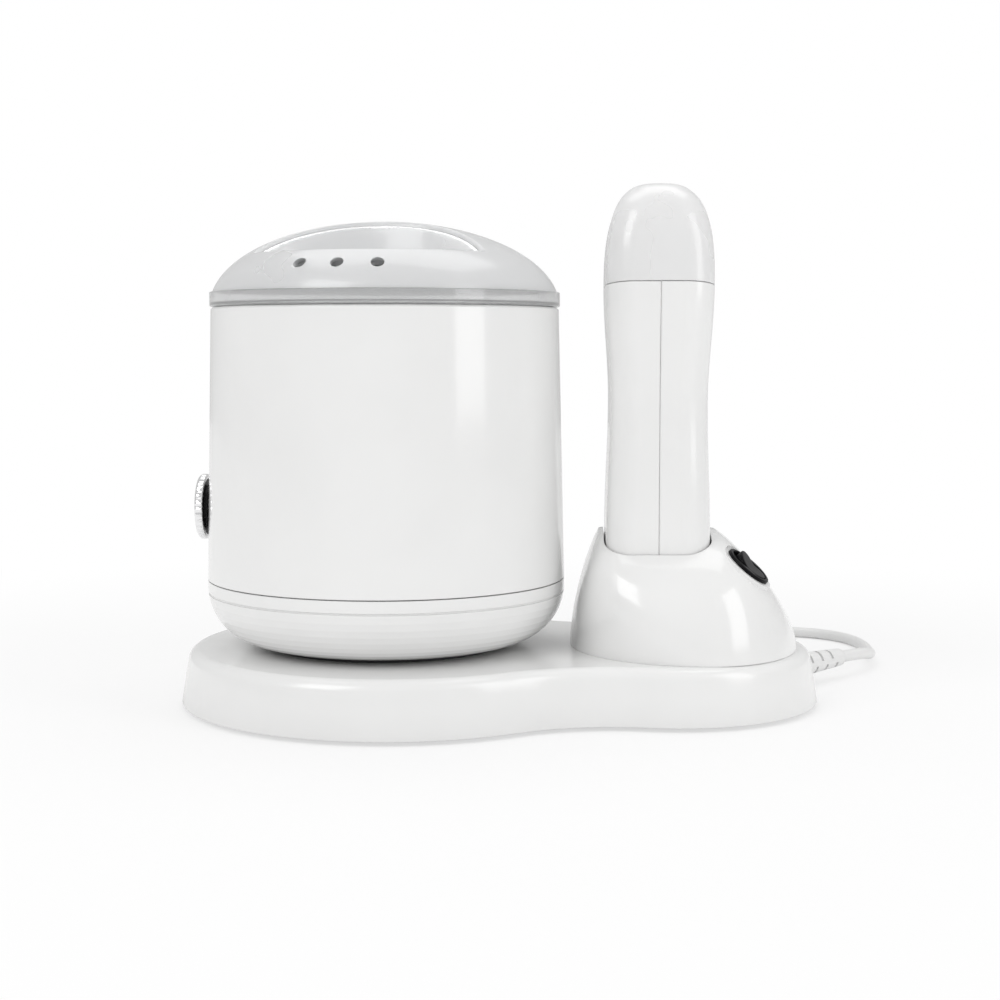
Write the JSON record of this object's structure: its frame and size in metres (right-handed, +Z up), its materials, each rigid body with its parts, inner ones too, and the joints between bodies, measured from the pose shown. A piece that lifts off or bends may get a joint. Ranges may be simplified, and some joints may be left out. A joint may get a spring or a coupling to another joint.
{
  "type": "roll on wax heater",
  "caption": "Depilatory wax warmer: a lidded wax pot and a roll-on cartridge handset in its dock on one peanut-shaped base, with a mains lead.",
  "frame": {"origin": "middle of the base at the surface it stands on", "axes": "+Z up, +X from the wax pot towards the handset, -Y towards the front"},
  "size_m": [0.3574, 0.3136, 0.2459],
  "materials": {
    "white_shell": "glossy moulded plastic",
    "base_white": "glossy moulded plastic",
    "bottom_plate": "matt moulded plastic",
    "foot_rubber": "matt rubber",
    "steel_screw": "plated",
    "terminal_white": "matt",
    "aluminium_cup": "spun",
    "mica_band": "dull",
    "glass_mat": "woven mat",
    "knob_black": "satin",
    "knob_chrome": "bright",
    "lid_clear": "clear moulded plastic",
    "lid_frosted": "frosted translucent plastic",
    "cap_clear": "milky translucent plastic",
    "switch_black": "glossy",
    "contact_brass": "bright",
    "window_clear": "clear",
    "collar_grey": "matt",
    "heater_orange": "film",
    "wax_amber": "translucent wax cartridge",
    "roller_white": "smooth",
    "lead_white": "satin PVC",
    "plug_white": "satin",
    "tin_aluminium": "drawn"
  },
  "bodies": {
    "root": {"base_cover": "base_white", "base_plate": "bottom_plate", "rubber_feet": "foot_rubber", "plate_screws": "steel_screw", "terminal_block": "terminal_white", "pot_seat_ring": "foot_rubber", "pot_screws": "steel_screw", "pot_bottom_shell": "white_shell", "pot_housing": "white_shell", "heating_well": "aluminium_cup", "band_heater": "mica_band", "insulation_wrap": "glass_mat", "thermal_cutout": "steel_screw", "thermostat": "terminal_white", "dock_housing": "white_shell", "dock_cup": "white_shell", "dock_contacts": "contact_brass", "switch_body": "switch_black", "switch_terminals": "contact_brass", "strain_relief": "lead_white", "cord": "lead_white", "cord_coil": "lead_white", "cord_tail": "lead_white", "coil_tie": "plug_white", "plug_body": "plug_white", "plug_pins": "steel_screw"},
    "knob": {"control_shaft": "steel_screw", "knob_hub": "knob_black", "knob_ring": "knob_chrome", "knob_face": "knob_chrome"},
    "tin": {"wax_tin": "tin_aluminium"},
    "lid": {"lid_rim": "lid_clear", "lid_dome": "lid_frosted"},
    "rocker": {"rocker": "switch_black"},
    "handset": {"handset_shell_left": "white_shell", "handset_shell_right": "white_shell", "level_window": "window_clear", "handset_collar": "collar_grey", "handset_screws": "steel_screw", "handset_contacts": "contact_brass", "heater_sleeve": "aluminium_cup", "sleeve_frame": "collar_grey", "sleeve_heaters": "heater_orange"},
    "cartridge": {"cartridge_tank": "wax_amber", "cartridge_head": "roller_white"},
    "roller": {"roller": "roller_white"},
    "cap": {"handset_cap": "cap_clear"}
  },
  "joints": [
    {"name": "knob_turn", "type": "hinge", "parent": "root", "child": "knob", "pos_m": [-0.1425, 0, 0.094], "axis": [-1, 0, 0], "range_deg": [0, 270]},
    {"name": "tin_lift", "type": "slide", "parent": "root", "child": "tin", "axis": [0, 0, 1], "range_m": [0, 0.13]},
    {"name": "lid_lift", "type": "slide", "parent": "tin", "child": "lid", "axis": [0, 0, 1], "range_m": [0, 0.08]},
    {"name": "rocker_tip", "type": "hinge", "parent": "root", "child": "rocker", "pos_m": [0.11473, -0.02629, 0.06594], "axis": [-0.2756, -0.9613, 0], "range_deg": [0, 20]},
    {"name": "handset_lift", "type": "slide", "parent": "root", "child": "handset", "axis": [0, 0, 1], "range_m": [0, 0.1]},
    {"name": "cartridge_lift", "type": "slide", "parent": "handset", "child": "cartridge", "axis": [0, 0, 1], "range_m": [0, 0.13]},
    {"name": "roller_spin", "type": "hinge", "parent": "cartridge", "child": "roller", "pos_m": [0.0755, 0, 0.2221], "axis": [0, 1, 0], "continuous": true},
    {"name": "cap_lift", "type": "slide", "parent": "cartridge", "child": "cap", "axis": [0, 0, 1], "range_m": [0, 0.07]}
  ]
}
